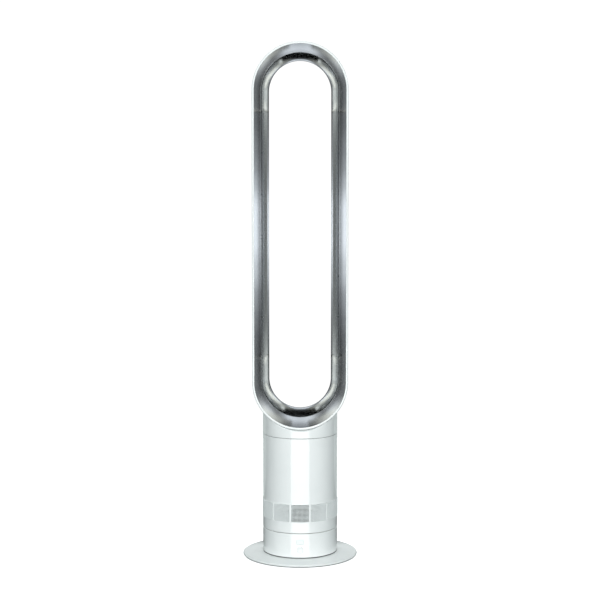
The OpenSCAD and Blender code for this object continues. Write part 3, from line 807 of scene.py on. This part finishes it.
def rib():
    """One upright rib centred on the +X axis, its outline rounded towards the outside."""
    half, root, end = math.radians(rib_angle / 2) * body_r, band_in - 0.4, 0.3
    outline = rounded_outline([(root, -half, 0), (band_out, -half, 0.5), (band_out, half, 0.5),
                               (root, half, 0)])
    bm = bmesh.new()
    bridge_rings(bm, [[bm.verts.new((x * MM, y * MM, z * MM)) for x, y in outline]
                      for z in (band_foot + end, band_top - end)])
    return finished_mesh(bm)


ribs = grow(repeat, rib(), {"Count": panel_count, "Start Angle": math.radians(-90 + 180 / panel_count),
                            "Finish": white_abs})
bm = bmesh.new()
bm.from_mesh(ribs)
for low in (band_foot, band_top - hoop):
    spin(bm, rounded_outline([(band_in, low, 0.1), (band_out, low, 0.25), (band_out, low + hoop, 0.25),
                              (band_in, low + hoop, 0.1)], 2))
place_piece("inlet_band_frame", finished_mesh(bm), white_abs, "upper_body", "white_casing", "inlet_grille")

# %% [markdown]
# ## Inlet band: perforated sheet
# Behind the frame is a painted sheet with rows of small holes. Nearly three thousand holes are the same
# hole, so one square tile with an eight-sided hole is drawn, and a rule lays copies of it in a flat grid,
# rolls the grid into a part of a tube as sheet metal is rolled, and welds the tiles. The front panel is
# rolled on its own, because its holes are wider and it looks darker. Solidify then gives the sheet its
# 2 mm and the holes their walls. The holes are spaced 2.4 mm apart, about as fine as shows.

# %% Tile
columns, hole_rows = 192, 14
sheet_r = band_out - 0.3
sheet_low, sheet_top = band_foot + 0.25, band_top - 0.25
pitch, row_pitch = 2 * math.pi * sheet_r / columns, (sheet_top - sheet_low) / hole_rows


def tile(w, h, r):
    """A flat plate from 0 to w and 0 to h with an eight-sided hole."""
    border = [(w, h / 2), (w, h), (w / 2, h), (0, h), (0, h / 2), (0, 0), (w / 2, 0), (w, 0)]
    hole = [(w / 2 + x, h / 2 + y) for x, y in circle(r, 8)]
    bm = bmesh.new()
    bridge_rings(bm, [[bm.verts.new((x * MM, y * MM, 0)) for x, y in edge] for edge in (border, hole)],
                 caps=False)
    mesh = bpy.data.meshes.new("tile")
    bm.to_mesh(mesh)
    bm.free()
    return mesh


print("hole pitch round", round(pitch, 2), "mm and up", round(row_pitch, 2), "mm")

# %% Rolled sheet rule
roll, given = new_tree("roll_perforated_sheet", {"Columns": "Int", "Rows": "Int", "Pitch": "Float",
                                                 "Row Pitch": "Float", "Radius": "Float", "Foot": "Float",
                                                 "Start Angle": "Float", "Finish": "Material"})
total = add_node(roll, "ShaderNodeMath", {0: given["Columns"], 1: given["Rows"]}, operation="MULTIPLY")
spots = add_node(roll, "GeometryNodePoints", {"Count": total})
number = add_node(roll, "GeometryNodeInputIndex")
column = add_node(roll, "ShaderNodeMath", {0: number, 1: given["Columns"]}, operation="MODULO")
row_share = add_node(roll, "ShaderNodeMath", {0: number, 1: given["Columns"]}, operation="DIVIDE")
row = add_node(roll, "ShaderNodeMath", {0: row_share}, operation="FLOOR")
across = add_node(roll, "ShaderNodeMath", {0: column, 1: given["Pitch"]}, operation="MULTIPLY")
up = add_node(roll, "ShaderNodeMath", {0: row, 1: given["Row Pitch"]}, operation="MULTIPLY")
corner = add_node(roll, "ShaderNodeCombineXYZ", {"X": across, "Y": up})
laid = add_node(roll, "GeometryNodeSetPosition", {"Geometry": spots, "Position": corner})
tiles = add_node(roll, "GeometryNodeInstanceOnPoints", {"Points": laid, "Instance": given["Geometry"]})
flat = add_node(roll, "GeometryNodeRealizeInstances", {"Geometry": tiles})
flat_xyz = add_node(roll, "ShaderNodeSeparateXYZ", {0: add_node(roll, "GeometryNodeInputPosition")})
turn = add_node(roll, "ShaderNodeMath", {0: flat_xyz.outputs["X"], 1: given["Radius"]}, operation="DIVIDE")
bend = add_node(roll, "ShaderNodeMath", {0: turn, 1: given["Start Angle"]}, operation="ADD")
rolled_xy = []
for shadow in ("COSINE", "SINE"):
    reach = add_node(roll, "ShaderNodeMath", {0: bend}, operation=shadow)
    rolled_xy.append(add_node(roll, "ShaderNodeMath", {0: reach, 1: given["Radius"]}, operation="MULTIPLY"))
rolled_z = add_node(roll, "ShaderNodeMath", {0: flat_xyz.outputs["Y"], 1: given["Foot"]}, operation="ADD")
wrapped = add_node(roll, "ShaderNodeCombineXYZ", {"X": rolled_xy[0], "Y": rolled_xy[1], "Z": rolled_z})
bent = add_node(roll, "GeometryNodeSetPosition", {"Geometry": flat, "Position": wrapped})
welded = add_node(roll, "GeometryNodeMergeByDistance", {"Geometry": bent, "Distance": 0.02 * MM})
end_tree(roll, welded, given["Finish"])

# %% Front panel and the rest
panel, front_hole, other_hole = columns // panel_count, 1.06, 0.86
half_panel = 180 / panel_count
bm = bmesh.new()
for first, count, hole in ((-90 - half_panel, panel, front_hole),
                           (-90 + half_panel, columns - panel, other_hole)):
    bm.from_mesh(grow(roll, tile(pitch, row_pitch, hole),
                      {"Columns": count, "Rows": hole_rows, "Pitch": pitch * MM, "Row Pitch": row_pitch * MM,
                       "Radius": sheet_r * MM, "Foot": sheet_low * MM, "Start Angle": math.radians(first),
                       "Finish": sheet_paint}))
shape = in_scene("sheet_blank", finished_mesh(bm))
thicken(shape, 2.0)
sheet_mesh = evaluated_mesh(shape)
bpy.data.objects.remove(shape)
smooth_edges(sheet_mesh, 30)
place_piece("inlet_sheet_perforated", sheet_mesh, sheet_paint, "upper_body", "inlet_sheet", "inlet_mesh")

# %% [markdown]
# ## Screws under the base
# Four countersunk screws hold the base together and are seen only from below. One screw with a cross
# recess is drawn, and the same rule that repeated the ribs sets the four of them round the axis.

# %% Base screws
def countersunk_screw(at=67.6, head_r=3.0, shank_r=1.5, steps=24, arm=1.9):
    """Rings from the bottom of the recess to the tip; every sixth point of the second makes the cross."""
    levels = [(0.3, 2.0), (0.55, 1.3), (head_r - 0.25, 1.3), (head_r, 1.45), (shank_r, 2.75), (shank_r, 17.5),
              (0.9, 18)]
    bm = bmesh.new()
    rings = []
    for n, (r, z) in enumerate(levels):
        ring = []
        for k in range(steps):
            a, reach = 2 * math.pi * k / steps, r * (arm if n == 1 and k % 6 == 0 else 1)
            ring.append(bm.verts.new(((at + reach * math.cos(a)) * MM, reach * math.sin(a) * MM, z * MM)))
        rings.append(ring)
    bridge_rings(bm, rings)
    return finished_mesh(bm)


screws = grow(repeat, countersunk_screw(),
              {"Count": 4, "Start Angle": math.radians(45), "Finish": zinc_steel})
smooth_edges(screws)
place_piece("base_screws_set", screws, zinc_steel, "base", "steel", "base_screws")

# %% [markdown]
# ## Camera
# The fan is seen straight from the front, from about three metres, slightly above its middle and looking
# a little down. A long lens keeps the loop's sides almost parallel.

# %% Camera
camera_data = bpy.data.cameras.new("camera")
camera_data.sensor_width = 36
camera_data.lens = 88.66
camera_data.shift_y = -0.03
camera_data.clip_end = 100
camera = in_scene("camera", camera_data)
camera.location = (-0.0002, -2.9, 0.7475)
camera.rotation_euler = (math.radians(90 - 4.052), 0, 0)
bpy.context.scene.camera = camera
print("lens", camera_data.lens, "at", [round(v, 3) for v in camera.location])

# %% [markdown]
# ## Studio: floor, backdrop and soft light
# The fan stands on a small white floor that glows a little, inside a white dome, so that floor and
# backdrop run together. A wide soft light hangs overhead, a second one shines from the front, a weaker one
# from behind and two more from behind at the sides. The air has a faint cool light of its own.

# %% Glow and flat cards
def glow(name, colour, strength, axis="Z", share=None):
    """An emission material: its strength is a number, or stops along one axis, times a share along X."""
    material = bpy.data.materials.new(name)
    material.use_nodes = True
    tree = material.node_tree
    tree.nodes.clear()
    level = strength
    if isinstance(strength, list):
        level = level_along(tree, axis, strength)
    if share:
        level = add_node(tree, "ShaderNodeMath", {0: level, 1: level_along(tree, "X", share)},
                         operation="MULTIPLY")
    lamp = add_node(tree, "ShaderNodeEmission", {"Color": srgb(colour), "Strength": level})
    add_node(tree, "ShaderNodeOutputMaterial", {"Surface": lamp})
    return material


def level_along(tree, axis, stops):
    """Strength along one axis: stops are (metres from the middle, strength), joined by smooth steps."""
    low, high, peak = stops[0][0], stops[-1][0], max(level for spot, level in stops)
    place = add_node(tree, "ShaderNodeTexCoord").outputs["Object"]
    along = add_node(tree, "ShaderNodeSeparateXYZ", {0: place}).outputs[axis]
    distance = add_node(tree, "ShaderNodeMath", {0: along}, operation="ABSOLUTE")
    share = add_node(tree, "ShaderNodeMapRange", {"Value": distance, "From Min": low, "From Max": high})
    ramp = add_node(tree, "ShaderNodeValToRGB", {"Fac": share})
    ramp.color_ramp.interpolation = "EASE"
    bands = ramp.color_ramp.elements
    bands.remove(bands[1])
    for n, (spot, level) in enumerate(stops):
        band = bands[0] if n == 0 else bands.new((spot - low) / (high - low))
        band.position = (spot - low) / (high - low)
        band.color = [level / peak] * 3 + [1]
    return add_node(tree, "ShaderNodeMath", {0: ramp, 1: peak}, operation="MULTIPLY")


def flat_card(name, corners, material):
    mesh = bpy.data.meshes.new(name)
    mesh.from_pydata(corners, [], [tuple(range(len(corners)))])
    mesh.materials.append(material)
    card = in_scene(name, mesh)
    return card


def facing_front(x, y, low, high):
    """Corners of an upright rectangle that faces front, from x[0] to x[1]."""
    return [(x[0], y, low), (x[1], y, low), (x[1], y, high), (x[0], y, high)]


def facing_side(x, y, low, high):
    """Corners of an upright rectangle that faces sideways, from y[0] to y[1]."""
    return [(x, y[0], low), (x, y[1], low), (x, y[1], high), (x, y[0], high)]


print("corners of a one metre card", facing_front((0, 1), 0, 0, 1))

# %% Floor, backdrop and air
floor_white, tree, shader, place = start_material("studio_floor_white", Roughness=0.9, Emission_Strength=0.66)
fill(tree, shader, {"Emission Color": srgb("#ffffff")})
speck = add_node(tree, "ShaderNodeTexNoise", {"Vector": place, "Scale": 12.0})
two_tones(tree, shader, speck, srgb("#fbfcfc"), srgb("#ffffff"))
half = 1.3
floor = flat_card("studio_floor", [(-half, -half, 0), (half, -half, 0), (half, half, 0), (-half, half, 0)],
                  floor_white)
floor.visible_glossy = floor.visible_diffuse = False

bpy.ops.mesh.primitive_uv_sphere_add(segments=48, ring_count=24, radius=25)
dome = bpy.context.object
dome.name = "studio_backdrop"
backdrop = glow("backdrop_white", "#ffffff", 1.05)
backdrop.cycles.emission_sampling = "NONE"
dome.data.materials.append(backdrop)
dome.visible_diffuse = dome.visible_glossy = dome.visible_shadow = dome.visible_transmission = False

world = bpy.data.worlds.new("studio_air")
bpy.context.scene.world = world
world.use_nodes = True
fill(world.node_tree, world.node_tree.nodes["Background"], {"Color": srgb("#d2eaea"), "Strength": 0.22})
world.cycles_visibility.glossy = False
print("floor", 2 * half, "m, dome", dome.name)

# %% Soft lights
def area_light(name, place, aim, width, height, power):
    light = bpy.data.lights.new(name, "AREA")
    light.shape, light.size, light.size_y, light.energy = "RECTANGLE", width, height, power
    lamp = in_scene(name, light)
    lamp.location = place
    lamp.rotation_euler = (Vector(aim) - Vector(place)).to_track_quat("-Z", "Y").to_euler()
    lamp.visible_camera = lamp.visible_glossy = False


area_light("overhead_softbox", (0, 0, 3.0), (0, 0, 0), 4.0, 4.0, 40)
area_light("front_softbox", (0, -4.0, 0.9), (0, 0, 0.5), 1.6, 1.6, 146)
area_light("back_softbox", (0, 4.0, 1.4), (0, 0, 0.5), 2.0, 2.0, 50)
for x in (-2.2, 2.2):
    area_light("rear_side_softbox", (x, 3.2, 1.2), (0, 0, 0.5), 1.4, 1.8, 70)
bpy.context.scene.view_settings.view_transform = "Standard"
print("lights", [light.name for light in bpy.data.lights])

# %% [markdown]
# ## Studio: cards for the gloss to mirror
# Gloss plastic and brushed metal show what surrounds them, so plain cards stand round the fan, as in a
# product studio. Only gloss and metal see them: the camera doesn't, and they light nothing. A low card in
# front lays the long highlight down the body. The flared band mirrors a graded card behind the loop, whose
# foot has a notch. The inner band mirrors two graded side cards, and in the two ends small tilted cards
# with black felt on their backs. Low cards behind reach the base plate, and pale walls close the room.

# %% Front and back cards
def gloss_card(name, corners, material):
    """A card that is seen in gloss and metal only, and lights nothing."""
    card = flat_card(name, corners, material)
    card.visible_camera = card.visible_diffuse = card.visible_shadow = False
    card.visible_transmission = card.visible_volume_scatter = False
    material.cycles.emission_sampling = "NONE"


gloss_card("front_card", facing_front((-1.06, 1.06), -2, -0.6, 0.2), glow("front_card_white", "#fffefc", 3.0))
outer_levels = [(0.33, 0.16), (0.37, 0.21), (0.416, 0.36), (0.463, 0.58), (0.53, 1.12), (0.60, 1.66),
                (0.67, 1.64), (0.735, 0.86), (0.765, 0.58), (0.807, 0.42), (0.876, 0.23), (0.93, 0.18)]
middle_share = [(0.0, 0.72), (0.10, 0.82), (0.145, 0.40), (0.18, 0.16), (0.235, 0.20), (0.265, 1.0),
                (0.32, 1.2), (0.42, 1.1)]
arch_w, notch_w, arch_foot, notch_top, arch_top = 0.42, 0.13, 0.25, 0.43, 0.965
arch = [(-arch_w, arch_foot), (-notch_w, arch_foot), (-notch_w, notch_top), (notch_w, notch_top),
        (notch_w, arch_foot), (arch_w, arch_foot), (arch_w, arch_top), (-arch_w, arch_top)]
gloss_card("back_card", [(x, 0.45, z) for x, z in arch],
           glow("back_card_grade", "#edf3f9", outer_levels, share=middle_share))
gloss_card("plate_card", facing_front((-0.26, 0.26), 1.2, 0.19, 0.5),
           glow("plate_card_white", "#f4fbfb", 0.6))
print("back card", 2 * arch_w, "m wide and", round(arch_top - arch_foot, 3), "m tall")

# %% Side cards
inner_levels = [(0.2, 1.15), (0.27, 1.1), (0.316, 0.85), (0.364, 0.50), (0.411, 0.31), (0.458, 0.25),
                (0.606, 0.22), (0.738, 0.23), (0.811, 0.30), (0.878, 0.50), (0.915, 0.85), (0.95, 1.1),
                (1.1, 1.15)]
arc_levels = [(0.012, 0.14), (0.02, 0.28), (0.032, 0.65), (0.046, 1.1), (0.07, 1.45), (0.28, 1.35)]
felt, felt_gap = glow("black_felt", "#000000", 0.0), 0.001
for side, x in (("left", -1), ("right", 1)):
    gloss_card(f"{side}_card", facing_side(0.45 * x, (0.16, 0.5), 0.2, 1.1),
               glow(f"{side}_card_grade", "#f4f9f5", inner_levels))
    for end, z, rise in (("upper", 0.878, 0.03), ("lower", 0.387, -0.048)):
        slope = [(0.012 * x, 0.057, z), (0.28 * x, 0.057, z + rise), (0.28 * x, 0.20, z + rise),
                 (0.10 * x, 0.125, z + rise / 3), (0.012 * x, 0.11, z)]
        gloss_card(f"{side}_{end}_card", slope, glow(f"{side}_{end}_card_grade", "#fbfdf4", arc_levels, "X"))
        backing = [(px, y, h - math.copysign(felt_gap, rise)) for px, y, h in slope]
        gloss_card(f"{side}_{end}_felt", backing, felt)
    gloss_card(f"{side}_low_card", facing_front((0.15 * x, 1.5 * x), 1.2, -0.2, 0.165),
               glow(f"{side}_low_card_white", "#eefaf8", 0.65))

# %% Walls of the room
room, reach, room_top = glow("room_white", "#f4fafa", 0.42), 2.6, 2.4
for x in (-reach, reach):
    gloss_card("side_wall", facing_side(x, (-reach, reach), -0.2, room_top), room)
gloss_card("front_wall", facing_front((-reach, reach), -3.2, 0.5, room_top), room)
gloss_card("rear_wall", facing_front((-reach, reach), reach, 0.9, room_top), room)
